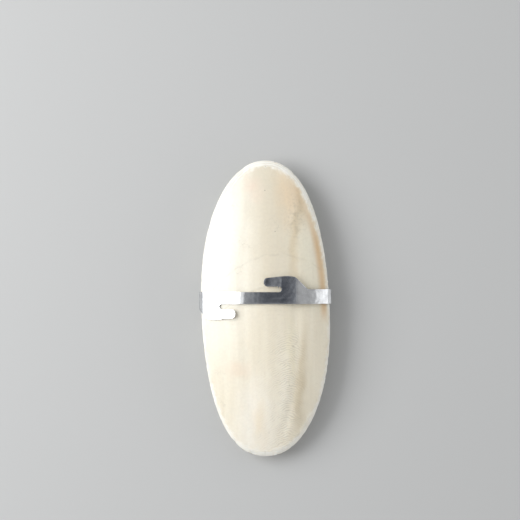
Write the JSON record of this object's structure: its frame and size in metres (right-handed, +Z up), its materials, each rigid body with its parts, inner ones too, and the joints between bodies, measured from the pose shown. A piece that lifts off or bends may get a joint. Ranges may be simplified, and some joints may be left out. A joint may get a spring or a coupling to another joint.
{
  "type": "cuttlebone with cage clip",
  "caption": "Oval cuttlebone with a hard cream back and a soft chalk belly, held by a bent tin strap with hooks for the wires of a bird cage.",
  "frame": {"origin": "on the ground, below the middle of the bone as it lies on its belly", "axes": "+Y to the bone's front end along its length, +X to its right seen from above, +Z up through its hard back"},
  "size_m": [0.0536, 0.12, 0.0199],
  "materials": {
    "aragonite": "matt, fine grained, chalk white at the ground rim",
    "tinplate": "bright rolled sheet, fine streaks along the strap"
  },
  "bodies": {
    "root": {"cuttlebone": "aragonite", "holder_clip": "tinplate"}
  },
  "joints": []
}
